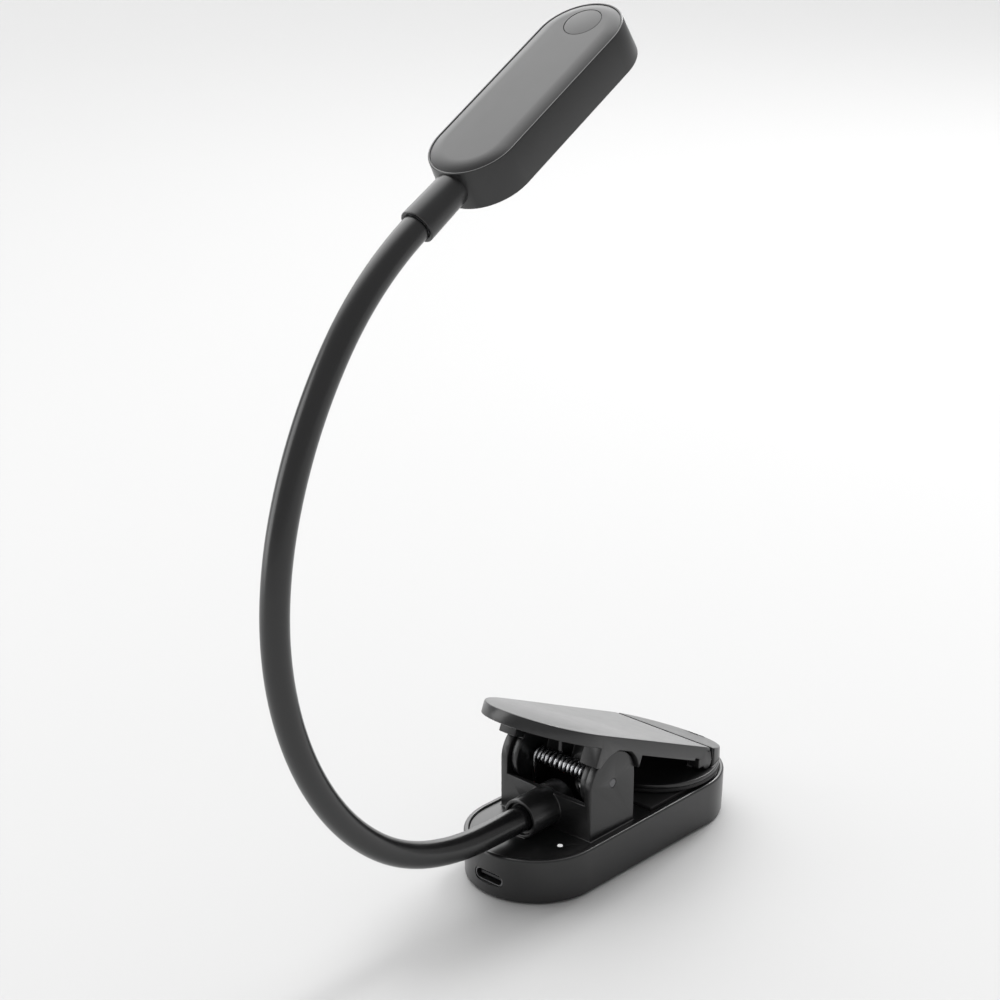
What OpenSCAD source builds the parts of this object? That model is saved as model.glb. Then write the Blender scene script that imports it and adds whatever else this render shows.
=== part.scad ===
// Clip-on reading lamp: a battery base with a sprung clip, a gooseneck and a flat LED head.
// Millimetres. +Z is up, the origin is the centre of the foot, +X runs along the base towards
// the jaws, and the charging socket is at the -X end. The lamp is symmetric about the plane Y = 0.

/* [Base] */
// Length of the base, end to end
base_l = 84; // [83:0.5:86]
// Width of the base
base_w = 36; // [36:0.5:38]
// Height of the base to its rim
base_h = 12.2; // [12:0.1:13]
// Thickness of the base's side wall
base_wall = 1.8; // [1.6:0.1:2]

/* [Tower] */
// Height of the lever's hinge pin above the foot
pin_z = 25; // [24.5:0.1:26]
// Place of the hinge pin along the base
pin_x = -12; // [-12.5:0.1:-11.5]
// Radius of the round top of each tower ear
ear_r = 8.4; // [8:0.1:8.5]
// Width across the two tower ears
tower_w = 30; // [29.6:0.1:30]
// Thickness of each tower ear
ear_t = 2.2; // [2:0.1:2.3]
// Radius of the hinge pin
pin_r = 1.1; // [1:0.05:1.2]

/* [Lever] */
// Slope of the lever's top at rest, in degrees
lever_tilt = 23.6; // [23:0.1:24.2]
// Height of the lever's top where it passes over the foot's centre
lever_z = 32.7; // [32.5:0.1:33]
// Half the width of the lever
lever_half_w = 16.15; // [16:0.05:16.2]
// Depth of the lever's edge
lever_edge = 3.3; // [3:0.1:3.4]

/* [Jaw] */
// Place of the jaw foot's pivot along the base
jaw_pivot_x = 25.2; // [25:0.1:25.4]
// Height of the jaw foot's pivot
jaw_pivot_z = 17.4; // [17.3:0.1:17.6]
// Radius of the jaw foot's disc
jaw_r = 17.6; // [17:0.1:17.8]
// Gap between the closed rubber pads
pad_gap = 0.4; // [0.3:0.05:0.5]

/* [Neck] */
// Diameter of the gooseneck
neck_d = 6.6; // [6.4:0.1:6.6]
// Height at which the gooseneck leaves the tower
neck_z = 16.6; // [16.5:0.1:16.8]
// Length of each gooseneck link along its axis
link_l = 19.23; // [19:0.01:19.5]
// Play between the links' ball and socket
link_play = 0.15; // [0.12:0.01:0.2]

/* [Head] */
// Half the distance between the centres of the head's round ends
head_a = 19.5; // [19:0.1:20]
// Radius of the head's round ends
head_r = 11.1; // [11:0.1:11.4]
// Thickness of the head
head_t = 10.4; // [10.4:0.1:10.8]
// Radius of the power button
button_r = 4.5; // [4.3:0.1:4.6]

/* [Hidden] */
$fn = 64;

cut = 0.5;                 // how far a cutting shape runs past the surface it cuts
fit = 0.05;                // radial play of a pushed-in part

// Base shell, deck and what the shell holds
base_r = base_w / 2;
base_a = base_l / 2 - base_r;
edge_lift = 0.35;          // the shell stands this far above the foot pad's underside
floor_top = 2;
deck_z = base_h - 0.5;     // the deck lies below the rim
deck_t = 1.5;
deck_r = base_r - 1.35;
rim_r = deck_r + 0.1;
foot_r = base_r - 2.6;
foot_t = 1;
screw_places = [[-18, 13], [-18, -13], [35, 7.5], [35, -7.5]];
screw_head_r = 1.9;
screw_shank_r = 0.84;
screw_hole_r = 1.15;
screw_post_r = 2.3;
post_split_z = 6;

// Charging socket
usb_z = 5.2;
usb_w = 8.94;
usb_t = 3.2;
usb_l = 7.3;
usb_skin = 0.3;
usb_front_x = -base_l / 2 + 0.9;
board_t = 1;
board_top = usb_z - usb_t / 2;
light_place = [-26.4, -10.3];
light_r = 0.65;

// Tower
tower_front = pin_x - ear_r;
wall_t = 1.4;
wall_top = 21.2;
rear_wall_top = 20.8;
ear_in = tower_w / 2 - ear_t;
collar_r = 5.15;
collar_front = -30;
mouth_r = 4.2;
mouth_deep = 1.2;

// Lever. Its own axes run along the plate (s), across it (y) and out of its top (t).
lever_tip_s = -38.9;
lever_tip_round = 20;
lever_far_s = 45.4;
lever_far_round = 18.5;
lever_skin = 2;
lever_rim = 1.5;
lever_ear_in = 10.45;
lever_ear_out = 12.45;
lever_ear_r = 7.4;
notch_r = ear_r + 0.5;
pin_s = pin_x * cos(lever_tilt) - (pin_z - lever_z) * sin(lever_tilt);
pin_t = pin_x * sin(lever_tilt) + (pin_z - lever_z) * cos(lever_tilt);
block_front_s = -18.2;
block_rear_s = -0.3;
block_low_t = -8.5;
skirt_low_t = -4;
skirt_rear_s = 22.5;
post_in = 12.8;
post_front_x = 21.6;
post_rear_x = 27.3;
lever_end_x = 26.3;        // where the lever's top ends, at its seam with the jaw foot
rib_y = 2.1;               // the rib under the lever, over the spring's coil
rib_t = 1.3;
coil_room_r = 2.7;
web_t = 1.2;               // the cross wall behind the coil, from one ear to the other
web_s = 3.5;
jaw_pin_y = 15.2;

// Jaw foot
foot_front_x = 27.5;
jaw_x = 22.6;
base_pad_top = base_h + 0.3;
pad_low = base_pad_top + pad_gap;
pad_t = 1.1;
disc_low = pad_low + pad_t;
disc_t = 1.2;
disc_top = disc_low + disc_t;
lug_in = 10.6;
lug_out = 12.4;
lug_r = 1.6;
jaw_pin_r = 0.8;
post_round_r = 1.8;
post_low = 0.6;            // the post's front part ends this far below the pivot
cap_wall = 1.4;

// Gooseneck: each link is an arc, and its bend at rest is given in degrees.
link_turns = [1, 16.5, 20.5, 16, 13.5, 13, 13.5, 12, 10, 10, 14, 9.5];
links = len(link_turns);
last_link_l = 13.65;       // the last link ends at the mouth of the head's collar
collar_len = 7.4;
neck_r = neck_d / 2;
neck_start_x = -24;
ball_r = neck_r - 0.1;
socket_r = neck_r + link_play;
bore_r = 2;
core_r = bore_r - fit;
core_hole_r = 1.05;
core_tip = 2.5;
core_start = 3.7;
wire_r = 0.4;
wire_y = 0.47;

function turned(i) = i == 0 ? 0 : link_turns[i - 1] + turned(i - 1);
function heading(i) = 180 - turned(i);
function arc_l(i) = i < links - 1 ? link_l : last_link_l;
function bend_r(i) = arc_l(i) * 180 / (PI * link_turns[i]);
function ahead(angle, length) = [length * cos(angle), 0, length * sin(angle)];
function bend_centre(i) = joint_at(i) + ahead(heading(i) - 90, bend_r(i));
function joint_at(i) =
    i == 0 ? [neck_start_x, 0, neck_z] : bend_centre(i - 1) + ahead(heading(i) + 90, bend_r(i - 1));

// Head. Its own frame has x along the head and z out of its top. It starts in the head's collar.
head_tilt = heading(links);
head_x = 36;
head_wall = 1.2;
head_top = head_t / 2;
cover_t = 1.2;
cover_r = head_r - 0.8;
head_collar_r = 4.3;
lens_r = 8.1;
lens_low = -head_top;
lens_t = 1.25;
lens_flange = 0.7;
board_z = -1.5;
head_board_t = 0.8;
button_x = head_x + 22.4;
button_top = head_top;
flange_r = 5.1;
switch_top = board_z + head_board_t + 2;
button_travel = 0.4;
head_screw_x = [head_x - 8, head_x + 12];
led_cols = 5;
led_pitch = 8.5;
led_row_y = 4;

black = "#2b2b2c";
soft_black = "#1d1d1e";
steel = "#c9cccf";

// A plate with round ends along X, from height z up to z + h.
module stadium(a, r, z, h) {
    translate([0, 0, z]) {
        for (side = [-1, 1])
            translate([side * a, 0, 0]) cylinder(r = r, h = h);
        translate([-a, -r, 0]) cube([2 * a, 2 * r, h]);
    }
}

// A bar along Y between y0 and y1, round about the point (x, z).
module bar_y(x, z, r, y0, y1) {
    translate([x, y1, z]) rotate([90, 0, 0]) cylinder(r = r, h = y1 - y0);
}

// A bar along X between x0 and x1.
module bar_x(x0, x1, y, z, r) {
    translate([x0, y, z]) rotate([0, 90, 0]) cylinder(r = r, h = x1 - x0);
}

// A box given by its low and high corners.
module box(low, high) {
    translate(low) cube(high - low);
}

// Its children at both sides of the plane Y = 0.
module both_sides() {
    for (side = [0, 1]) mirror([0, side, 0]) children();
}

// A flat pill: a bar along X with two round edges, w wide and t thick.
module pill_x(x0, x1, z, w, t) {
    for (side = [-1, 1]) bar_x(x0, x1, side * (w - t) / 2, z, t / 2);
    box([x0, -(w - t) / 2, z - t / 2], [x1, (w - t) / 2, z + t / 2]);
}

// ---------- base ----------

module base_shell() {
    color(black) difference() {
        union() {
            difference() {
                stadium(base_a, base_r, edge_lift, base_h - edge_lift);
                stadium(base_a, base_r - base_wall, floor_top, base_h);
                stadium(base_a, rim_r, deck_z - deck_t, base_h);
            }
            for (place = screw_places)
                translate([place.x, place.y, floor_top - cut])
                    cylinder(r = screw_post_r, h = post_split_z - floor_top + cut);
        }
        stadium(base_a, foot_r + fit, -cut, foot_t + fit + cut);
        for (place = screw_places)
            translate([place.x, place.y, 0]) {
                cylinder(r = screw_hole_r, h = post_split_z + cut);
                cylinder(r = screw_head_r + 0.1, h = foot_t + 1.7);
            }
        pill_x(-base_l, usb_front_x + usb_l, usb_z, usb_w + 0.3, usb_t + 0.3);
    }
}

module foot_pad() {
    color(soft_black) stadium(base_a, foot_r, 0, foot_t);
}

module base_screws() {
    color(steel) for (place = screw_places)
        translate([place.x, place.y, 0]) {
            translate([0, 0, foot_t + 0.2]) cylinder(r = screw_head_r, h = 1.4);
            translate([0, 0, foot_t + 1.5]) cylinder(r = screw_shank_r, h = 6.5);
        }
}

module tower_ear() {
    box([tower_front, -tower_w / 2, deck_z - cut], [pin_x + ear_r, -ear_in, pin_z]);
    bar_y(pin_x, pin_z, ear_r, -tower_w / 2, -ear_in);
}

module deck() {
    color(black) difference() {
        union() {
            stadium(base_a, deck_r, deck_z - deck_t, deck_t);
            both_sides() tower_ear();
            box([tower_front, -ear_in - cut, deck_z - cut],
                [tower_front + wall_t, ear_in + cut, wall_top]);
            box([pin_x + ear_r - wall_t, -ear_in - cut, deck_z - cut],
                [pin_x + ear_r, ear_in + cut, rear_wall_top]);
            bar_x(collar_front, tower_front + wall_t, 0, neck_z, collar_r);
            for (place = screw_places)
                translate([place.x, place.y, post_split_z + 0.1])
                    cylinder(r = screw_post_r, h = deck_z - deck_t / 2 - post_split_z);
        }
        bar_y(pin_x, pin_z, pin_r + 0.01, -tower_w, tower_w);
        bar_x(collar_front - cut, 0, 0, neck_z, neck_r + fit);
        bar_x(collar_front - cut, collar_front + mouth_deep, 0, neck_z, mouth_r);
        jaw_pad_bed(fit);
        translate([light_place.x, light_place.y, 0]) cylinder(r = light_r + fit, h = base_h);
        for (place = screw_places)
            translate([place.x, place.y, 0]) cylinder(r = screw_shank_r + 0.01, h = 9.6);
        box([pin_x - 2, -2, deck_z - deck_t - cut], [pin_x + 1, 2, deck_z + cut]);
    }
}

// The recess of the lower pad, or the pad itself when play is 0.
module jaw_pad_bed(play) {
    r = deck_r - 1.2 + play;
    z = deck_z - 0.8 - play;
    translate([0, 0, z]) {
        translate([base_a, 0, 0]) cylinder(r = r, h = base_pad_top - z);
        translate([3 - play, -r, 0]) cube([base_a - 3 + play, 2 * r, base_pad_top - z]);
    }
}

module lower_jaw_pad() {
    color(soft_black) jaw_pad_bed(0);
}

module battery() {
    color("#7d868c") difference() {
        box([-12.5, -13, 2.4], [30, 13, 9]);
        for (z = [2.4, 9])
            for (side = [-1, 1])
                translate([-12.5 - cut, side * 13, z]) rotate([45, 0, 0])
                    translate([0, -0.8, -0.8]) cube([42.5 + 2 * cut, 1.6, 1.6]);
    }
}

module main_board() {
    color("#1f5a3a") difference() {
        intersection() {
            box([-40, -14, board_top - board_t], [-14.5, 14, board_top]);
            stadium(base_a, base_r - base_wall - 0.3, 0, base_h);
        }
        for (side = [-1, 1])
            translate([-18, side * 13, 0]) cylinder(r = screw_post_r + 0.2, h = base_h);
    }
}

module board_parts() {
    color("#303236") {
        box([-30, 1, board_top], [-25, 6, board_top + 1.2]);
        box([-23, -8, board_top], [-20, -4.5, board_top + 1]);
        box([-23.5, 5, board_top], [-21, 9.5, board_top + 1.8]);
        box([-31, -5.5, board_top], [-28, -3.5, board_top + 0.8]);
        box([light_place.x - 0.8, light_place.y - 0.4, board_top],
            [light_place.x + 0.8, light_place.y + 0.4, board_top + 0.7]);
    }
}

module usb_socket() {
    color(steel) difference() {
        pill_x(usb_front_x, usb_front_x + usb_l, usb_z, usb_w, usb_t);
        pill_x(usb_front_x - cut, usb_front_x + usb_l - 0.6, usb_z,
            usb_w - 2 * usb_skin, usb_t - 2 * usb_skin);
    }
}

module usb_tongue() {
    color(soft_black)
        box([usb_front_x + 0.9, -3.35, usb_z - 0.35], [usb_front_x + usb_l - 0.6, 3.35, usb_z + 0.35]);
}

module charge_light() {
    low = board_top + 0.9;
    color("white") translate([light_place.x, light_place.y, low]) {
        cylinder(r = light_r, h = deck_z - low);
        cylinder(r = 1.5, h = deck_z - deck_t - low - 0.2);
    }
}

module hinge_pin() {
    color(steel) bar_y(pin_x, pin_z, pin_r, -tower_w / 2 + 0.1, tower_w / 2 - 0.1);
}

module neck_clamp() {
    color(black) difference() {
        union() {
            bar_x(tower_front + wall_t, -15, 0, neck_z, collar_r + 0.3);
            box([tower_front + wall_t, -3.4, deck_z], [-15, 3.4, neck_z]);
        }
        bar_x(tower_front, 0, 0, neck_z, neck_r + fit);
        box([tower_front, -10, 0], [0, 10, deck_z]);
    }
}

module neck_ferrule_base() {
    color(steel) difference() {
        bar_x(neck_start_x, -15.6, 0, neck_z, neck_r);
        bar_x(neck_start_x - cut, 0, 0, neck_z, bore_r);
    }
}

// Two leads from the gooseneck's end down through the deck to the edge of the main board.
module leads_base() {
    turn_x = -13.4;
    board_mid = board_top - board_t / 2;
    color("#b3392f") for (side = [-1, 1])
        translate([0, side * wire_y, 0]) {
            bar_x(neck_start_x, turn_x, 0, neck_z, wire_r);
            translate([turn_x, 0, neck_z]) sphere(r = wire_r + 0.02);
            translate([turn_x, 0, board_mid]) cylinder(r = wire_r, h = neck_z - board_mid);
            bar_x(-14.5, turn_x, 0, board_mid, wire_r);
            translate([turn_x, 0, board_mid]) sphere(r = wire_r + 0.02);
        }
}

// The spring is wound round the hinge pin, with its middle turns a little further apart.
// A leg goes down to the deck from its far end, and one up to the lever from its near end.
coil_r = 1.85;
spring_wire_r = 0.42;
coil_ends = [9.3, 4.9, 0.9, -6.4];
coil_turns = [3.5, 2.5, 5.5];
coil_steps = 12;
leg_top = lever_z - (pin_x + coil_r) * tan(lever_tilt) - lever_skin / cos(lever_tilt) - 0.5;
function turns_before(part) = part == 0 ? 0 : coil_turns[part - 1] + turns_before(part - 1);
function coil_point(part, k) =
    let (angle = 180 - 360 * (turns_before(part) + k / coil_steps),
         share = k / (coil_turns[part] * coil_steps))
    [pin_x + coil_r * cos(angle),
     coil_ends[part] + (coil_ends[part + 1] - coil_ends[part]) * share,
     pin_z + coil_r * sin(angle)];
spring_path = concat(
    [[pin_x - coil_r - 0.5, coil_ends[0] + 0.3, deck_z + 0.5],
     [pin_x - coil_r, coil_ends[0] + 0.1, pin_z - 2]],
    [for (part = [0 : 2], k = [0 : coil_turns[part] * coil_steps - 1]) coil_point(part, k)],
    [coil_point(2, coil_turns[2] * coil_steps)],
    [[pin_x + coil_r, coil_ends[3] - 0.1, pin_z + 1.5],
     [pin_x + coil_r + 0.3, coil_ends[3] - 0.2, leg_top]]
);

// A tube of six sides along a path, as one closed solid.
module wire(path, r) {
    sides = 6;
    rings = len(path);
    way = [for (i = [0 : rings - 1])
        let (d = path[min(i + 1, rings - 1)] - path[max(i - 1, 0)]) d / norm(d)];
    side_of = [for (i = [0 : rings - 1]) let (c = cross([0, 1, 0.02], way[i])) c / norm(c)];
    points = [for (i = [0 : rings - 1], j = [0 : sides - 1])
        let (up = cross(way[i], side_of[i]), a = 360 * j / sides)
        path[i] + r * (cos(a) * side_of[i] + sin(a) * up)];
    skin = [for (i = [0 : rings - 2], j = [0 : sides - 1])
        let (n = (j + 1) % sides)
        [i * sides + j, i * sides + n, (i + 1) * sides + n, (i + 1) * sides + j]];
    first = [for (j = [sides - 1 : -1 : 0]) j];
    last = [for (j = [0 : sides - 1]) (rings - 1) * sides + j];
    polyhedron(points = points, faces = concat(skin, [first, last]), convexity = 10);
}

module torsion_spring() {
    color(steel) wire(spring_path, spring_wire_r);
}

// ---------- lever ----------

module in_lever_frame() {
    translate([0, 0, lever_z]) rotate([0, lever_tilt, 0]) children();
}

// Outline of the plate in its own plane: two elliptical ends, made smaller all round by inset.
function lever_outline(inset, x_scale = 1) = concat(
    [for (a = [-90 : 5 : 90])
        [x_scale * (lever_far_s - lever_far_round + (lever_far_round - inset) * cos(a)),
         (lever_half_w - inset) * sin(a)]],
    [for (a = [90 : 5 : 270])
        [x_scale * (lever_tip_s + lever_tip_round + (lever_tip_round - inset) * cos(a)),
         (lever_half_w - inset) * sin(a)]]
);

// Everything on the lever's side of the seam, which leans away from the jaw foot at the top.
module lever_side_of_seam() {
    lean = atan2(post_rear_x - lever_end_x, lever_z - lever_end_x * tan(lever_tilt) - jaw_pivot_z);
    translate([post_rear_x, 0, jaw_pivot_z]) rotate([0, -lean, 0])
        translate([-90, -25, -20]) cube([90, 50, 100]);
}

module lever_block() {
    block_in = lever_ear_in + 0.3;
    in_lever_frame() translate([block_front_s, block_in, block_low_t])
        cube([block_rear_s - block_front_s, lever_half_w - block_in, -block_low_t - 1]);
}

// One rear post with the pivot of the jaw foot, and the skirt in front of it.
module lever_post() {
    intersection() {
        lever_side_of_seam();
        difference() {
            union() {
                box([post_front_x, post_in, jaw_pivot_z - post_low], [jaw_pivot_x, lever_half_w, 24]);
                box([jaw_pivot_x, post_in, jaw_pivot_z], [post_rear_x + 1, lever_half_w, 24]);
                bar_y(jaw_pivot_x, jaw_pivot_z, post_round_r, post_in, lever_half_w);
            }
            in_lever_frame() translate([0, 0, -1]) cube([60, 60, 20]);
            linear_extrude(40) difference() {
                translate([0, -30]) square([60, 60]);
                polygon([for (p = lever_outline(0)) [p.x * cos(lever_tilt) + 0.9, p.y]]);
            }
        }
    }
}

// The cross wall behind the spring, and the rib in front of it that hangs over the coil.
module lever_web() {
    difference() {
        in_lever_frame() {
            translate([pin_s + web_s, -lever_ear_in - cut, pin_t - 1.5])
                cube([web_t, 2 * (lever_ear_in + cut), 0.5 - pin_t]);
            translate([0, rib_y + rib_t, 0]) rotate([90, 0, 0]) linear_extrude(rib_t)
                polygon([[pin_s - 4, -1], [pin_s, pin_t], [pin_s + web_s + 0.5, pin_t],
                    [pin_s + web_s + 0.5, -1]]);
        }
        bar_y(pin_x, pin_z, coil_room_r, 0, 5);
    }
}

module lever() {
    color(black) difference() {
        union() {
            intersection() {
                lever_side_of_seam();
                in_lever_frame() difference() {
                    union() {
                        translate([0, 0, -lever_edge]) linear_extrude(lever_edge)
                            polygon(lever_outline(0));
                        both_sides() translate([block_rear_s - 1, lever_half_w - lever_rim, skirt_low_t])
                            cube([skirt_rear_s - block_rear_s + 2, lever_rim, 3]);
                    }
                    translate([0, 0, -lever_edge - 1]) linear_extrude(lever_edge + 1 - lever_skin)
                        polygon(lever_outline(lever_rim));
                }
            }
            both_sides() {
                difference() {
                    lever_block();
                    bar_y(pin_x, pin_z, notch_r, lever_ear_out, lever_half_w + 1);
                }
                bar_y(pin_x, pin_z, lever_ear_r, lever_ear_in, lever_ear_out);
                lever_post();
            }
            lever_web();
        }
        bar_y(pin_x, pin_z, pin_r + 0.06, -tower_w, tower_w);
        bar_y(jaw_pivot_x, jaw_pivot_z, jaw_pin_r + 0.01, -jaw_pin_y - 0.1, jaw_pin_y + 0.1);
    }
}

module jaw_pins() {
    color(steel) both_sides()
        bar_y(jaw_pivot_x, jaw_pivot_z, jaw_pin_r, lug_in - 0.4, jaw_pin_y);
}

// ---------- jaw foot ----------

// The space under the plane of the lever's top.
module under_lever_top() {
    in_lever_frame() translate([-60, -30, -60]) cube([120, 60, 60]);
}

// The end cap's plan: the far end of the lever's outline, seen from above.
module cap_plan(inset) {
    difference() {
        polygon(lever_outline(inset, cos(lever_tilt)));
        translate([-60, -30]) square([60 + foot_front_x, 60]);
    }
}

module jaw_foot() {
    color(black) difference() {
        union() {
            translate([jaw_x, 0, disc_low]) cylinder(r = jaw_r, h = disc_t);
            intersection() {
                under_lever_top();
                difference() {
                    translate([0, 0, disc_low]) linear_extrude(12) cap_plan(0);
                    intersection() {
                        in_lever_frame() translate([-60, -30, -60 - cap_wall]) cube([120, 60, 60]);
                        translate([0, 0, disc_top]) linear_extrude(12)
                            intersection() {
                                polygon(lever_outline(cap_wall, cos(lever_tilt)));
                                translate([0, -post_in]) square([60, 2 * post_in]);
                            }
                    }
                }
            }
            both_sides() {
                bar_y(jaw_pivot_x, jaw_pivot_z, lug_r, lug_in, lug_out);
                box([jaw_pivot_x - lug_r, lug_in, disc_low], [jaw_pivot_x + lug_r, lug_out, jaw_pivot_z]);
            }
        }
        bar_y(jaw_pivot_x, jaw_pivot_z, jaw_pin_r + 0.06, -tower_w, tower_w);
    }
}

module upper_jaw_pad() {
    color(soft_black) translate([jaw_x, 0, pad_low]) cylinder(r = jaw_r, h = pad_t);
}

// ---------- gooseneck ----------

// A solid arc of radius r that follows link i from length "from" to length "to".
module link_arc(i, r, from, to, y = 0) {
    per_mm = link_turns[i] / arc_l(i);
    translate(bend_centre(i)) rotate([90, 0, 0]) rotate([0, 0, heading(i) + 90 - to * per_mm])
        rotate_extrude(angle = (to - from) * per_mm, $fn = 360)
            translate([bend_r(i), y]) circle(r = r, $fn = 48);
}

module neck_skin(i) {
    color(soft_black) difference() {
        union() {
            link_arc(i, neck_r, 0, arc_l(i));
            if (i < links - 1) translate(joint_at(i + 1)) sphere(r = ball_r);
        }
        link_arc(i, bore_r, -1, arc_l(i) + ball_r + 1);
        if (i > 0) translate(joint_at(i)) sphere(r = socket_r);
    }
}

// The steel tube inside a link, with the two leads in it.
module neck_core(i) {
    from = i > 0 ? core_start : 0;
    to = i < links - 1 ? link_l + core_tip : arc_l(i);
    color(steel) difference() {
        link_arc(i, core_r, from, to);
        link_arc(i, core_hole_r, from - 1, to + 1);
    }
    color("#b3392f") for (side = [-1, 1]) link_arc(i, wire_r, from, to, side * wire_y);
}

// ---------- head ----------

module in_head_frame() {
    translate(joint_at(links) + ahead(head_tilt, collar_len)) rotate([0, -head_tilt, 0]) children();
}

module head_plate(r, z, h) {
    translate([head_x, 0, 0]) stadium(head_a, r, z, h);
}

module neck_ferrule_head() {
    color(steel) in_head_frame() difference() {
        bar_x(0.02 - collar_len, 7.3, 0, 0, neck_r);
        bar_x(-collar_len - cut, 10, 0, 0, bore_r);
    }
}

module head_shell() {
    color(black) in_head_frame() difference() {
        union() {
            difference() {
                head_plate(head_r, -head_top, head_t);
                head_plate(head_r - head_wall, -head_top + head_wall, head_t);
                head_plate(cover_r + fit, head_top - cover_t, head_t);
                head_plate(lens_r + fit, -head_top - cut, head_t);
            }
            bar_x(-collar_len, head_x - head_a - head_r + head_wall / 2, 0, 0, head_collar_r);
        }
        bar_x(-collar_len - cut, head_x - head_a - head_r + 3, 0, 0, neck_r + fit);
    }
}

module head_cover() {
    color(black) in_head_frame() difference() {
        union() {
            head_plate(cover_r, head_top - cover_t, cover_t);
            for (x = head_screw_x)
                translate([x, 0, board_z + head_board_t + 0.05])
                    cylinder(r = 1.7, h = head_top - cover_t - board_z - head_board_t);
        }
        translate([button_x, 0, 0]) cylinder(r = button_r + 0.12, h = head_t);
        for (x = head_screw_x) translate([x, 0, board_z]) cylinder(r = 0.61, h = 4);
    }
}

module power_button() {
    color(black) in_head_frame() translate([button_x, 0, 0]) {
        translate([0, 0, head_top - cover_t - 0.9]) cylinder(r = button_r, h = cover_t + 0.9);
        translate([0, 0, head_top - cover_t - 0.9]) cylinder(r = flange_r, h = 0.7);
        translate([0, 0, switch_top + button_travel + 0.1])
            cylinder(r = 1.3, h = head_top - cover_t - 0.5 - switch_top - button_travel);
    }
}

module led_board() {
    color("#e8e8e4") in_head_frame() difference() {
        translate([head_x + 1.5, 0, 0])
            stadium(head_a - 2, head_r - head_wall - 0.6, board_z, head_board_t);
        for (x = head_screw_x) translate([x, 0, board_z - cut]) cylinder(r = 0.8, h = 3);
    }
}

module leds() {
    color("#fff2b0") in_head_frame() for (c = [0 : led_cols - 1], side = [-1, 1])
        translate([head_x + (c - (led_cols - 1) / 2) * led_pitch, side * led_row_y, board_z - 0.4])
            cube([2.8, 3.5, 0.8], center = true);
}

module reflector() {
    low = lens_low + lens_t + lens_flange + 0.05;
    color("white") in_head_frame() difference() {
        head_plate(lens_r, low, board_z - 0.05 - low);
        head_plate(lens_r - 1, -head_top, head_t);
    }
}

module diffuser() {
    color("#f4f4f0") in_head_frame() {
        head_plate(lens_r, lens_low, lens_t + 0.01);
        head_plate(lens_r + 0.8, lens_low + lens_t, lens_flange);
    }
}

module head_screws() {
    color(steel) in_head_frame() for (x = head_screw_x)
        translate([x, 0, board_z]) {
            translate([0, 0, -0.6]) cylinder(r = 1.2, h = 0.58);
            translate([0, 0, -0.05]) cylinder(r = 0.6, h = 3.5);
        }
}

module switch() {
    color("#303236") in_head_frame() translate([button_x, 0, board_z + head_board_t]) {
        translate([-2.2, -2.2, 0]) cube([4.4, 4.4, 1.4]);
        translate([0, 0, 1.3]) cylinder(r = 1, h = 0.7);
    }
}

module leads_head() {
    color("#b3392f") in_head_frame() for (side = [-1, 1])
        translate([0, side * wire_y, 0]) {
            bar_x(-collar_len, 13, 0, 0, wire_r);
            translate([13, 0, 0]) sphere(r = wire_r + 0.02);
            translate([13, 0, board_z + head_board_t])
                cylinder(r = wire_r, h = -board_z - head_board_t);
        }
}

base_shell();
foot_pad();
base_screws();
deck();
lower_jaw_pad();
battery();
main_board();
board_parts();
usb_socket();
usb_tongue();
charge_light();
hinge_pin();
torsion_spring();
neck_clamp();
neck_ferrule_base();
leads_base();
lever();
jaw_pins();
jaw_foot();
upper_jaw_pad();
neck_skin(0);  // neck_skin_01
neck_skin(1);  // neck_skin_02
neck_skin(2);  // neck_skin_03
neck_skin(3);  // neck_skin_04
neck_skin(4);  // neck_skin_05
neck_skin(5);  // neck_skin_06
neck_skin(6);  // neck_skin_07
neck_skin(7);  // neck_skin_08
neck_skin(8);  // neck_skin_09
neck_skin(9);  // neck_skin_10
neck_skin(10);  // neck_skin_11
neck_skin(11);  // neck_skin_12
neck_core(0);  // neck_core_01
neck_core(1);  // neck_core_02
neck_core(2);  // neck_core_03
neck_core(3);  // neck_core_04
neck_core(4);  // neck_core_05
neck_core(5);  // neck_core_06
neck_core(6);  // neck_core_07
neck_core(7);  // neck_core_08
neck_core(8);  // neck_core_09
neck_core(9);  // neck_core_10
neck_core(10);  // neck_core_11
neck_core(11);  // neck_core_12
neck_ferrule_head();
head_shell();
head_cover();
led_board();
leds();
reflector();
diffuser();
head_screws();
switch();
leads_head();
power_button();
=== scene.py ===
"""The looks of a clip-on reading lamp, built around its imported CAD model.

Lengths in this file are millimetres in the CAD frame, and become metres as each mesh is made.
"""

import math

import bmesh
import bpy
from mathutils import Matrix, Vector
from mathutils.bvhtree import BVHTree


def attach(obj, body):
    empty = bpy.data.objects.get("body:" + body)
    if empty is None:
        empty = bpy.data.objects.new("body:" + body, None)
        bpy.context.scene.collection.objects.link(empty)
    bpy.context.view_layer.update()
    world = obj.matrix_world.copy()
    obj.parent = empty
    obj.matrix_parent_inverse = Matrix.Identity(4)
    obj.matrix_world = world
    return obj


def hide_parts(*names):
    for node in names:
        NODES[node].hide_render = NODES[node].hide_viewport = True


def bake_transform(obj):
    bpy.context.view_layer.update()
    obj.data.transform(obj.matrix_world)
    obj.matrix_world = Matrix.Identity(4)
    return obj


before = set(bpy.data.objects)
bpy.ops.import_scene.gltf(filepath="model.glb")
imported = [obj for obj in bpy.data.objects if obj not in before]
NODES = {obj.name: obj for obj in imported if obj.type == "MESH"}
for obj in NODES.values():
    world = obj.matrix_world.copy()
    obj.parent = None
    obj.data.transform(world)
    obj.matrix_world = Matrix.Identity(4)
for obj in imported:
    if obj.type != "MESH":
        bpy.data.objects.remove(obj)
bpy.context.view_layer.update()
MM = 0.001

# ---------- sizes, as in the CAD ----------

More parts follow.
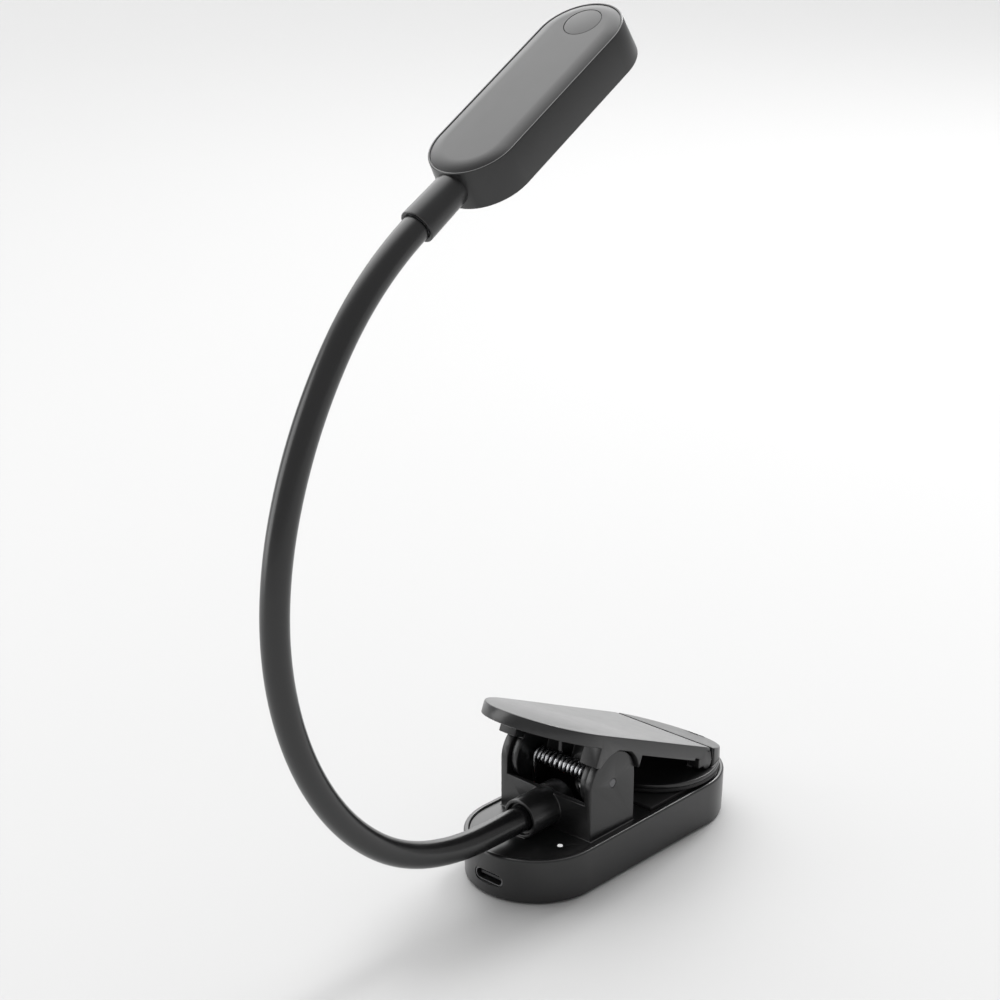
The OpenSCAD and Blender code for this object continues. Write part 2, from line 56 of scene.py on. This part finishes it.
BASE_A = 24.0
BASE_R = 18.0
RIM_Z = 12.2
DECK_Z = 11.7
DECK_R = BASE_R - 1.35
PORT_END = -(BASE_A + BASE_R)
USB_W = 8.94
USB_T = 3.2
PIN_X = -12.0
PIN_Z = 25.0
USB_Z = 5.2
NECK_R = 3.3
NECK_START = Vector((-24.0, 0.0, 16.6))
LINK_L = 19.23
LAST_LINK_L = 13.65
LINK_TURNS = [1, 16.5, 20.5, 16, 13.5, 13, 13.5, 12, 10, 10, 14, 9.5]
COLLAR_L = 7.4
SLEEVE_START_X = -26.0
HEAD_X = 36.0
HEAD_A = 19.5
HEAD_TOP = 5.2
COVER_SEAT = 4.0
LENS_SEAT = -3.95
BUTTON_X = HEAD_X + 22.4
BUTTON_R = 4.5
BUTTON_FLANGE_R = 5.1
BUTTON_FLANGE_TOP = 3.8
LENS_R = 8.1
LEVER_TILT = math.radians(23.6)
JAW_X = 22.6
JAW_R = 17.6
PAD_LOW = 12.9
PAD_T = 1.1


# ---------- meshes ----------


def make_piece(name, verts, faces, material, place=None, sharp=35):
    """A smooth-shaded object from points in millimetres, moved by the matrix place."""
    mesh = bpy.data.meshes.new(name)
    mesh.from_pydata([tuple(Vector(v) * MM) for v in verts], [], faces)
    bm = bmesh.new()
    bm.from_mesh(mesh)
    bmesh.ops.remove_doubles(bm, verts=bm.verts, dist=1e-7)
    bmesh.ops.recalc_face_normals(bm, faces=bm.faces)
    bm.to_mesh(mesh)
    bm.free()
    if place is not None:
        mesh.transform(Matrix.Translation(place.translation * MM) @ place.to_3x3().to_4x4())
    mesh.shade_smooth()
    mesh.set_sharp_from_angle(angle=math.radians(sharp))
    mesh.materials.append(material)
    piece = bpy.data.objects.new(name, mesh)
    bpy.context.scene.collection.objects.link(piece)
    return piece


def settle(piece, body, slot, *stands_for):
    """Attaches the piece to the body it rides on and hides the CAD nodes it stands for. The slot
    argument is not used.
    """
    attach(piece, body)
    if stands_for:
        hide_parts(*stands_for)


def baked(piece):
    """Applies the modifiers of a piece to its mesh."""
    bpy.context.view_layer.update()
    shown = piece.evaluated_get(bpy.context.evaluated_depsgraph_get())
    mesh = bpy.data.meshes.new_from_object(shown)
    piece.modifiers.clear()
    piece.data = mesh
    return piece


def carve(piece, cutter):
    """Cuts the cutter out of the piece, and removes the cutter."""
    cut = piece.modifiers.new("cut", "BOOLEAN")
    cut.operation = "DIFFERENCE"
    cut.solver = "EXACT"
    cut.object = cutter
    baked(piece)
    bpy.data.objects.remove(cutter)
    piece.data.shade_smooth()
    piece.data.set_sharp_from_angle(angle=math.radians(35))
    return piece


def softened(name, node, material, width, steps=3):
    """A copy of a CAD node with its sharp edges rounded."""
    mesh = NODES[node].data.copy()
    mesh.name = name
    bm = bmesh.new()
    bm.from_mesh(mesh)
    bmesh.ops.remove_doubles(bm, verts=bm.verts, dist=2e-6)
    bmesh.ops.dissolve_limit(
        bm, angle_limit=math.radians(0.6), verts=bm.verts, edges=bm.edges
    )
    bm.to_mesh(mesh)
    surface = BVHTree.FromBMesh(bm)
    bm.free()
    mesh.materials.clear()
    mesh.materials.append(material)
    mesh.shade_smooth()
    piece = bpy.data.objects.new(name, mesh)
    bpy.context.scene.collection.objects.link(piece)
    rounding = piece.modifiers.new("edges", "BEVEL")
    rounding.limit_method = "ANGLE"
    rounding.angle_limit = math.radians(32)
    rounding.width = width * MM
    rounding.segments = steps
    rounding.use_clamp_overlap = False
    rounding.harden_normals = True
    baked(piece)
    # Where edges meet at a sliver of an angle, the rounding shoots past the part: it is pulled back.
    for vertex in piece.data.vertices:
        nearest, _, _, distance = surface.find_nearest(vertex.co)
        if distance > width / 2 * MM:
            vertex.co = nearest
    return piece


def stadium(a, r, steps=28):
    """The outline of a plate with round ends along X, anticlockwise."""
    points = []
    for side in (1, -1):
        for i in range(steps + 1):
            angle = math.pi * (i / steps - 0.5)
            points.append((side * (a + r * math.cos(angle)), side * r * math.sin(angle)))
    return points


def circle(r, steps=64):
    """The points of a circle, anticlockwise."""
    return [
        (r * math.cos(2 * math.pi * i / steps), r * math.sin(2 * math.pi * i / steps))
        for i in range(steps)
    ]


def loft(rings, caps=True):
    """Points and faces of a skin through rings that have the same number of points."""
    n = len(rings[0])
    verts = [p for ring in rings for p in ring]
    faces = []
    for k in range(len(rings) - 1):
        for i in range(n):
            j = (i + 1) % n
            faces.append((k * n + i, k * n + j, (k + 1) * n + j, (k + 1) * n + i))
    if caps:
        faces.append(tuple(reversed(range(n))))
        faces.append(tuple(range((len(rings) - 1) * n, len(rings) * n)))
    return verts, faces


def plate_loft(outline, profile):
    """A loft of outline(r) at each (r, z) of the profile."""
    return loft([[(x, y, z) for x, y in outline(r)] for r, z in profile])


def fillet(r0, z0, r1, z1, bulge, steps=6):
    """A quarter-round from (r0, z0) to (r1, z1). It leaves along z if bulge is 'z', else along r."""
    points = []
    for i in range(steps + 1):
        a = math.pi / 2 * i / steps
        if bulge == "z":
            points.append((r1 + (r0 - r1) * math.cos(a), z0 + (z1 - z0) * math.sin(a)))
        else:
            points.append((r0 + (r1 - r0) * math.sin(a), z1 + (z0 - z1) * math.cos(a)))
    return points


def tube(path, r, sides=24, start_normal=(0, 1, 0)):
    """The rings of points of a round tube along a path."""
    rings = []
    side = Vector(start_normal)
    for i, p in enumerate(path):
        ahead = path[min(i + 1, len(path) - 1)] - path[max(i - 1, 0)]
        ahead.normalize()
        side = (side - ahead * side.dot(ahead)).normalized()
        up = ahead.cross(side)
        ring = []
        for j in range(sides):
            a = 2 * math.pi * j / sides
            ring.append(p + r * (math.cos(a) * side + math.sin(a) * up))
        rings.append(ring)
    return rings


def lathe_x(profile, steps=48):
    """A loft of circles round the X axis through each (x, r) of the profile."""
    return loft([[(x, a, b) for a, b in circle(r, steps)] for x, r in profile])


# ---------- materials ----------


def new_material(name, colour, roughness, metallic=0.0):
    """A node material, with its node tree and its shader."""
    material = bpy.data.materials.new(name)
    material.use_nodes = True
    tree = material.node_tree
    shader = tree.nodes["Principled BSDF"]
    shader.inputs["Base Color"].default_value = (*colour, 1)
    shader.inputs["Roughness"].default_value = roughness
    shader.inputs["Metallic"].default_value = metallic
    return material, tree, shader


def noise(tree, scale, detail=2.0, stretch=(1, 1, 1)):
    """A noise pattern in the piece's own coordinates, in features per metre."""
    coords = tree.nodes.new("ShaderNodeTexCoord")
    mapping = tree.nodes.new("ShaderNodeMapping")
    mapping.inputs["Scale"].default_value = stretch
    pattern = tree.nodes.new("ShaderNodeTexNoise")
    pattern.inputs["Scale"].default_value = scale
    pattern.inputs["Detail"].default_value = detail
    tree.links.new(coords.outputs["Object"], mapping.inputs["Vector"])
    tree.links.new(mapping.outputs["Vector"], pattern.inputs["Vector"])
    return pattern.outputs["Fac"]


def spread(tree, value, low, high):
    """Maps a noise value to the range from low to high."""
    ranged = tree.nodes.new("ShaderNodeMapRange")
    ranged.inputs["From Min"].default_value = 0.3
    ranged.inputs["From Max"].default_value = 0.7
    ranged.inputs["To Min"].default_value = low
    ranged.inputs["To Max"].default_value = high
    tree.links.new(value, ranged.inputs["Value"])
    return ranged.outputs["Result"]


def tint(tree, shader, value, dark, light):
    """Varies the base colour between two colours with a value."""
    ramp = tree.nodes.new("ShaderNodeValToRGB")
    ramp.color_ramp.elements[0].position = 0.3
    ramp.color_ramp.elements[0].color = (*dark, 1)
    ramp.color_ramp.elements[1].position = 0.7
    ramp.color_ramp.elements[1].color = (*light, 1)
    tree.links.new(value, ramp.inputs["Fac"])
    tree.links.new(ramp.outputs["Color"], shader.inputs["Base Color"])


def grain(tree, shader, value, strength, depth_mm):
    """Raises the surface by a value, as a bump."""
    bump = tree.nodes.new("ShaderNodeBump")
    bump.inputs["Strength"].default_value = strength
    bump.inputs["Distance"].default_value = depth_mm * MM
    tree.links.new(value, bump.inputs["Height"])
    tree.links.new(bump.outputs["Normal"], shader.inputs["Normal"])


def moulded(name, colour, roughness, grain_scale=2600, grain_depth=0.006, specular=0.5, coat=0):
    """Moulded plastic or rubber: fine spark grain, with slight variation in colour and gloss."""
    material, tree, shader = new_material(name, colour, roughness)
    shader.inputs["Specular IOR Level"].default_value = specular
    shader.inputs["Coat Weight"].default_value = coat
    shader.inputs["Coat Roughness"].default_value = 0.22
    cloudy = noise(tree, 55, 4)
    tint(tree, shader, cloudy, [c * 0.86 for c in colour], [c * 1.14 for c in colour])
    rough = spread(tree, noise(tree, 240, 3), roughness - 0.012, roughness + 0.012)
    tree.links.new(rough, shader.inputs["Roughness"])
    grain(tree, shader, noise(tree, grain_scale, 3), 0.1, grain_depth)
    return material


def metal(name, colour, roughness, stretch=(1, 1, 1)):
    """Bright metal with fine drawn or stamped marks."""
    material, tree, shader = new_material(name, colour, roughness, 1.0)
    marks = noise(tree, 900, 4, stretch)
    tint(tree, shader, marks, [c * 0.88 for c in colour], colour)
    rough = spread(tree, marks, roughness - 0.06, roughness + 0.08)
    tree.links.new(rough, shader.inputs["Roughness"])
    grain(tree, shader, noise(tree, 3000, 2, stretch), 0.2, 0.004)
    return material


SHELL = moulded("shell_plastic", (0.013, 0.013, 0.0135), 0.29, specular=0.68)
LEVER_TOP = moulded("lever_top_plastic", (0.013, 0.013, 0.0135), 0.29, specular=0.66, coat=0.5)
COVER = moulded("cover_plastic", (0.015, 0.015, 0.0155), 0.34, specular=0.6)
SKIN = moulded("neck_silicone", (0.008, 0.008, 0.0085), 0.26, 3400, 0.004, 0.7)
RUBBER = moulded("pad_rubber", (0.012, 0.012, 0.0125), 0.62, 1900, 0.010)
CHIP = moulded("chip_resin", (0.03, 0.03, 0.032), 0.5)
LEAD = moulded("lead_sleeve", (0.42, 0.05, 0.04), 0.45)
BOARD = moulded("board_mask", (0.03, 0.16, 0.07), 0.38, 900, 0.004)
WHITE_BOARD = moulded("white_mask", (0.72, 0.72, 0.70), 0.4, 900, 0.004)
CELL = moulded("cell_pouch", (0.32, 0.34, 0.36), 0.38, 700, 0.02)
STEEL = metal("bright_steel", (0.80, 0.81, 0.83), 0.22)
TUBE_STEEL = metal("tube_steel", (0.55, 0.56, 0.58), 0.34, (1, 1, 0.1))
# The socket shell's steel is painted dark: its low colour is painted shade for the inside of the
# port, not the metal's own tone.
SOCKET_STEEL_PAINTED_SHADE = metal("socket_steel", (0.24, 0.24, 0.245), 0.4)
PIN_STEEL = metal("pin_steel", (0.17, 0.17, 0.175), 0.4)


def frosted(name, colour, weight, roughness):
    """Milky plastic that lets light through."""
    material, tree, shader = new_material(name, colour, roughness)
    shader.inputs["Subsurface Weight"].default_value = weight
    shader.inputs["Subsurface Radius"].default_value = (0.002, 0.002, 0.002)
    shader.inputs["Subsurface Scale"].default_value = 0.5
    tint(tree, shader, noise(tree, 300, 3), [c * 0.97 for c in colour], colour)
    grain(tree, shader, noise(tree, 1500, 2), 0.25, 0.006)
    return material


LENS = frosted("frosted_lens", (0.80, 0.80, 0.78), 0.4, 0.45)
LIGHT_PIPE_PAINTED_GLOW = frosted("light_pipe", (0.95, 0.96, 0.98), 0.3, 0.25)
# A faint white emission is a painted highlight: it brightens the light pipe's dot, which would
# otherwise sit in shade.
LIGHT_PIPE_PAINTED_GLOW.node_tree.nodes["Principled BSDF"].inputs["Emission Color"].default_value = (1, 1, 1, 1)
LIGHT_PIPE_PAINTED_GLOW.node_tree.nodes["Principled BSDF"].inputs["Emission Strength"].default_value = 0.5
PHOSPHOR = frosted("led_phosphor", (0.85, 0.66, 0.18), 0.2, 0.4)

CAD_LOOKS = {
    "base_screws": STEEL,
    "hinge_pin": PIN_STEEL,
    "jaw_pins": PIN_STEEL,
    "head_screws": STEEL,
    "battery": CELL,
    "main_board": BOARD,
    "board_parts": CHIP,
    "usb_socket": SOCKET_STEEL_PAINTED_SHADE,
    "usb_tongue": CHIP,
    "charge_light": LIGHT_PIPE_PAINTED_GLOW,
    "neck_clamp": SHELL,
    "neck_ferrule_base": TUBE_STEEL,
    "neck_ferrule_head": TUBE_STEEL,
    "leads_base": LEAD,
    "leads_head": LEAD,
    "led_board": WHITE_BOARD,
    "reflector": WHITE_BOARD,
    "leds": PHOSPHOR,
    "switch": CHIP,
}
for i in range(len(LINK_TURNS)):
    CAD_LOOKS[f"neck_core_{i + 1:02d}"] = TUBE_STEEL
for node, material in CAD_LOOKS.items():
    NODES[node].data.materials.clear()
    NODES[node].data.materials.append(material)


# ---------- base ----------


def base_outline(r):
    """The base's outline with round ends of radius r."""
    return stadium(BASE_A, r)


foot_r = BASE_R - 2.6
shell_profile = [
    (foot_r + 0.05, 1.05),
    (foot_r + 0.05, 0.35),
    (BASE_R - 1.0, 0.35),
    *fillet(BASE_R - 0.75, 0.36, BASE_R - 0.3, 0.95, "r"),
    (BASE_R - 0.12, 5.0),
    *fillet(BASE_R, RIM_Z - 0.7, BASE_R - 0.7, RIM_Z, "z"),
    *fillet(DECK_R + 0.35, RIM_Z, DECK_R + 0.1, RIM_Z - 0.25, "r", 3),
    (DECK_R + 0.1, DECK_Z - 1.5),
    (BASE_R - 1.8, DECK_Z - 1.5),
    (BASE_R - 1.8, 2.0),
]
base_shell = make_piece("base_shell_body", *plate_loft(base_outline, shell_profile), SHELL)


def pill(w, t, steps=12):
    """A pill-shaped outline, w wide and t high."""
    return stadium((w - t) / 2, t / 2, steps)


slot_rings = []
for inwards, grow in ((-4, 0.55), (-0.05, 0.55), (0.4, 0.3), (8.2, 0.3)):
    rim = pill(USB_W + grow, USB_T + grow)
    slot_rings.append([(PORT_END + inwards, a, USB_Z + b) for a, b in rim])
slot_cutter = make_piece("slot_cutter", *loft(slot_rings), SHELL)
settle(carve(base_shell, slot_cutter), "base", "shell_black", "base_shell")

pad_profile = [(foot_r - 0.3, 0.0), *fillet(foot_r - 0.3, 0.0, foot_r, 0.3, "r", 4), (foot_r, 1.0)]
foot = make_piece("foot_pad_rubber", *plate_loft(base_outline, pad_profile), RUBBER)
settle(foot, "base", "rubber_black", "foot_pad")

settle(softened("deck_and_tower", "deck", SHELL, 0.28), "base", "shell_black", "deck")
settle(
    softened("jaw_pad_below", "lower_jaw_pad", RUBBER, 0.3), "base", "rubber_black", "lower_jaw_pad"
)

# ---------- torsion spring ----------

WIRE_R = 0.42
COIL_R = 1.85
COIL_ENDS = [9.3, 4.9, 0.9, -6.4]
COIL_TURNS = [3.5, 2.5, 5.5]
COIL_STEPS = 28


def spring_path():
    """The spring's centreline: the leg on the deck, the coils round the pin, the lever's leg."""
    x, z = PIN_X, PIN_Z
    first = COIL_ENDS[0]
    path = [
        Vector((x - COIL_R - 0.5, first + 0.3, DECK_Z + 0.5)),
        Vector((x - COIL_R - 0.2, first + 0.2, z - 6)),
        Vector((x - COIL_R, first + 0.1, z - 2)),
    ]
    turned = 0.0
    for part, turns in enumerate(COIL_TURNS):
        y0, y1 = COIL_ENDS[part], COIL_ENDS[part + 1]
        steps = int(turns * COIL_STEPS)
        for k in range(steps):
            angle = math.pi - 2 * math.pi * (turned + k / COIL_STEPS)
            y = y0 + (y1 - y0) * k / steps
            path.append(Vector((x + COIL_R * math.cos(angle), y, z + COIL_R * math.sin(angle))))
        turned += turns
    last = COIL_ENDS[-1]
    for dx, dy, dz in ((0, 0, 0), (0, -0.1, 1.5), (0.2, -0.15, 5), (0.3, -0.2, 8.7)):
        path.append(Vector((x + COIL_R + dx, last + dy, z + dz)))
    return path


spring = make_piece("torsion_spring_wire", *loft(tube(spring_path(), WIRE_R, 12)), STEEL, sharp=60)
settle(spring, "base", "bright_steel", "torsion_spring")

# ---------- lever and jaw ----------

lever = softened("lever_plate", "lever", SHELL, 0.3)
lever.data.materials.append(LEVER_TOP)
# The thumb face is glossier than the rest of the lever.
thumb_up = Vector((math.sin(LEVER_TILT), 0, math.cos(LEVER_TILT)))
for face in lever.data.polygons:
    if face.normal.dot(thumb_up) > 0.98:
        face.material_index = 1
settle(lever, "lever", "shell_black", "lever")
settle(softened("jaw_foot_body", "jaw_foot", SHELL, 0.25), "jaw", "shell_black", "jaw_foot")
pad_profile = [
    (JAW_R - 0.35, PAD_LOW),
    *fillet(JAW_R - 0.35, PAD_LOW, JAW_R, PAD_LOW + 0.35, "r", 5),
    (JAW_R, PAD_LOW + PAD_T),
]
upper_pad = make_piece(
    "jaw_pad_above",
    *plate_loft(lambda r: [(JAW_X + x, y) for x, y in circle(r, 96)], pad_profile),
    RUBBER,
)
settle(upper_pad, "jaw", "rubber_black", "upper_jaw_pad")

# ---------- gooseneck ----------


def along(angle, length):
    """A step of a length in the XZ plane, at an angle from the X axis."""
    return Vector((math.cos(angle), 0, math.sin(angle))) * length


def neck_line():
    """Each link's centreline and the heading at its end, then the neck's end and its heading."""
    links = []
    at, heading = NECK_START.copy(), math.pi
    for i, degrees in enumerate(LINK_TURNS):
        length = LINK_L if i < len(LINK_TURNS) - 1 else LAST_LINK_L
        turn = math.radians(degrees)
        r = length / turn
        centre = at + along(heading - math.pi / 2, r)
        steps = 24
        points = []
        for k in range(steps + 1):
            h = heading - turn * k / steps
            points.append(centre + along(h + math.pi / 2, r))
        links.append({"points": points, "end": heading - turn})
        heading -= turn
        at = points[-1]
    return links, at, heading


LINKS, NECK_END, HEAD_TILT = neck_line()


for i in range(len(LINKS) - 1):
    here, beyond = LINKS[i]["points"], LINKS[i + 1]["points"]
    half = len(here) // 2
    first = here if i == 0 else here[half:]
    last = beyond if i == len(LINKS) - 2 else beyond[: half + 1]
    path = first + last[1:]
    if i == 0:
        path = [p for p in path if p.x < SLEEVE_START_X]
    else:
        path = [here[half - 1]] + path
    path.append(beyond[half + 1] if i < len(LINKS) - 2 else path[-1] + along(HEAD_TILT, 0.5))
    rings = tube(path, NECK_R, 40)[0 if i == 0 else 1 : -1]
    sleeve = make_piece(f"neck_sleeve_{i + 1:02d}", *loft(rings, caps=False), SKIN, sharp=80)
    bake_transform(sleeve)
    stood_for = [f"neck_skin_{i + 1:02d}"]
    if i == len(LINKS) - 2:
        stood_for.append(f"neck_skin_{i + 2:02d}")
    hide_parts(*stood_for)

# ---------- head ----------

HEAD_PLACE = Matrix.Translation(NECK_END + along(HEAD_TILT, COLLAR_L)) @ Matrix.Rotation(
    -HEAD_TILT, 4, "Y"
)


def head_outline(r):
    """The head's outline with round ends of radius r."""
    return [(HEAD_X + x, y) for x, y in stadium(HEAD_A, r, 40)]


TOP_R = 11.0
LOW_R = 11.5
RIM_TOP = HEAD_TOP - 0.75
GROOVE_R = 10.5
head_profile = [
    (LENS_R + 0.05, -3.9),
    (LENS_R + 0.05, -HEAD_TOP + 0.2),
    (LENS_R + 0.25, -HEAD_TOP),
    *fillet(LOW_R - 0.3, -HEAD_TOP, LOW_R, -HEAD_TOP + 0.3, "r", 4),
    *fillet(TOP_R, RIM_TOP - 0.25, TOP_R - 0.22, RIM_TOP, "z", 4),
    (GROOVE_R + 0.06, RIM_TOP - 0.06),
    (GROOVE_R, COVER_SEAT),
    (9.9, COVER_SEAT),
    (9.9, -3.9),
]
head_shell = make_piece(
    "head_shell_body", *plate_loft(head_outline, head_profile), SHELL, HEAD_PLACE
)
settle(head_shell, "head", "shell_black", "head_shell")

collar_profile = [
    (6.4, NECK_R + 0.05),
    (6.4, 4.0),
    (-COLLAR_L + 0.35, 4.26),
    (-COLLAR_L + 0.12, 4.22),
    (-COLLAR_L, 4.05),
    (-COLLAR_L, 3.75),
    (-COLLAR_L + 0.15, NECK_R + 0.12),
    (-COLLAR_L + 1.5, NECK_R + 0.05),
]
collar_verts, collar_faces = lathe_x(collar_profile)
collar = make_piece("head_collar", collar_verts, collar_faces[:-2], SHELL, HEAD_PLACE)
settle(collar, "head", "shell_black")

PILLOW = 3.4
PILLOW_DROP = 0.9
COVER_R = GROOVE_R - 0.08
cover_profile = [(COVER_R, COVER_SEAT)]
for k in range(13):
    share = 1 - k / 12
    cover_profile.append((COVER_R - PILLOW * (1 - share), HEAD_TOP - PILLOW_DROP * share**2))
cover = make_piece(
    "head_cover_plate", *plate_loft(head_outline, cover_profile), COVER, HEAD_PLACE
)
button_hole = make_piece(
    "button_hole",
    *loft([[(BUTTON_X + x, y, z) for x, y in circle(BUTTON_R + 0.1)] for z in (3, 7)]),
    COVER,
    HEAD_PLACE,
)
settle(carve(cover, button_hole), "head", "shell_black", "head_cover")

button_profile = [
    (BUTTON_FLANGE_R, BUTTON_FLANGE_TOP - 0.7),
    (BUTTON_FLANGE_R, BUTTON_FLANGE_TOP),
    (BUTTON_R, BUTTON_FLANGE_TOP),
    *fillet(BUTTON_R, HEAD_TOP - 0.18, BUTTON_R - 0.16, HEAD_TOP - 0.02, "z", 4),
]
button = make_piece(
    "button_cap",
    *plate_loft(lambda r: [(BUTTON_X + x, y) for x, y in circle(r)], button_profile),
    COVER,
    HEAD_PLACE,
)
settle(button, "button", "shell_black", "power_button")

lens_profile = [
    (LENS_R + 0.8, LENS_SEAT + 0.7),
    (LENS_R + 0.8, LENS_SEAT),
    (LENS_R - 0.02, LENS_SEAT),
    *fillet(LENS_R - 0.02, -HEAD_TOP + 0.45, LENS_R - 0.4, -HEAD_TOP + 0.15, "z", 4),
]
lens = make_piece("light_window", *plate_loft(head_outline, lens_profile), LENS, HEAD_PLACE)
settle(lens, "head", "lens_white", "diffuser")

# ---------- stage ----------


def stage_material(name, colour, roughness):
    material, tree, shader = new_material(name, colour, roughness)
    shader.inputs["Specular IOR Level"].default_value = 0.2
    tint(tree, shader, noise(tree, 3, 2), [c * 0.995 for c in colour], colour)
    return material


floor = make_piece(
    "floor",
    [(-6000, -6000, 0), (6000, -6000, 0), (6000, 6000, 0), (-6000, 6000, 0)],
    [(0, 1, 2, 3)],
    stage_material("floor_paper", (0.53, 0.53, 0.53), 0.6),
)

world = bpy.data.worlds.new("studio")
bpy.context.scene.world = world
world.use_nodes = True
background = world.node_tree.nodes["Background"]
background.inputs["Color"].default_value = (1.0, 1.0, 1.0, 1)

# A pale room with one broad bright ceiling panel behind the lamp, soft at its edge.
PANEL_TOWARDS = Vector((0.42, 0.52, 0.74)).normalized()
PANEL_EDGE, PANEL_FULL = 0.55, 0.97
ROOM, PANEL = 0.42, 3.1
sky = world.node_tree
direction = sky.nodes.new("ShaderNodeTexCoord")
towards = sky.nodes.new("ShaderNodeVectorMath")
towards.operation = "DOT_PRODUCT"
towards.inputs[1].default_value = PANEL_TOWARDS
glow = sky.nodes.new("ShaderNodeMapRange")
glow.interpolation_type = "SMOOTHSTEP"
glow.inputs["From Min"].default_value = PANEL_EDGE
glow.inputs["From Max"].default_value = PANEL_FULL
glow.inputs["To Min"].default_value = ROOM
glow.inputs["To Max"].default_value = PANEL
sky.links.new(direction.outputs["Generated"], towards.inputs[0])
sky.links.new(towards.outputs["Value"], glow.inputs["Value"])
sky.links.new(glow.outputs["Result"], background.inputs["Strength"])


def softbox(name, at, target, size, power):
    """A square area light that faces a target."""
    data = bpy.data.lights.new(name, "AREA")
    data.shape = "RECTANGLE"
    data.size, data.size_y = size[0] * MM, size[1] * MM
    data.energy = power
    lamp = bpy.data.objects.new(name, data)
    bpy.context.scene.collection.objects.link(lamp)
    lamp.location = Vector(at) * MM
    lamp.rotation_mode = "QUATERNION"
    lamp.rotation_quaternion = (Vector(target) - Vector(at)).to_track_quat("-Z", "Y")
    return lamp


softbox("key", (900, 150, 900), (-30, 0, 30), (350, 350), 7)
softbox("side", (-470, 520, 230), (-60, 0, 120), (400, 480), 1.3)

CAMERA_AT = Vector((-405.06, -336.56, 283.66))
AZIMUTH = math.radians(-47.55)
PITCH = math.radians(19.94)
SENSOR = 36
FOCAL_LENGTH = 81.972
camera_data = bpy.data.cameras.new("camera")
camera_data.sensor_width = SENSOR
camera_data.lens = FOCAL_LENGTH
camera = bpy.data.objects.new("camera", camera_data)
bpy.context.scene.collection.objects.link(camera)
camera.location = CAMERA_AT * MM
looking = Vector(
    (-math.sin(AZIMUTH) * math.cos(PITCH), math.cos(AZIMUTH) * math.cos(PITCH), -math.sin(PITCH))
)
camera.rotation_mode = "QUATERNION"
camera.rotation_quaternion = looking.to_track_quat("-Z", "Y")
bpy.context.scene.camera = camera
bpy.context.scene.view_settings.view_transform = "Standard"
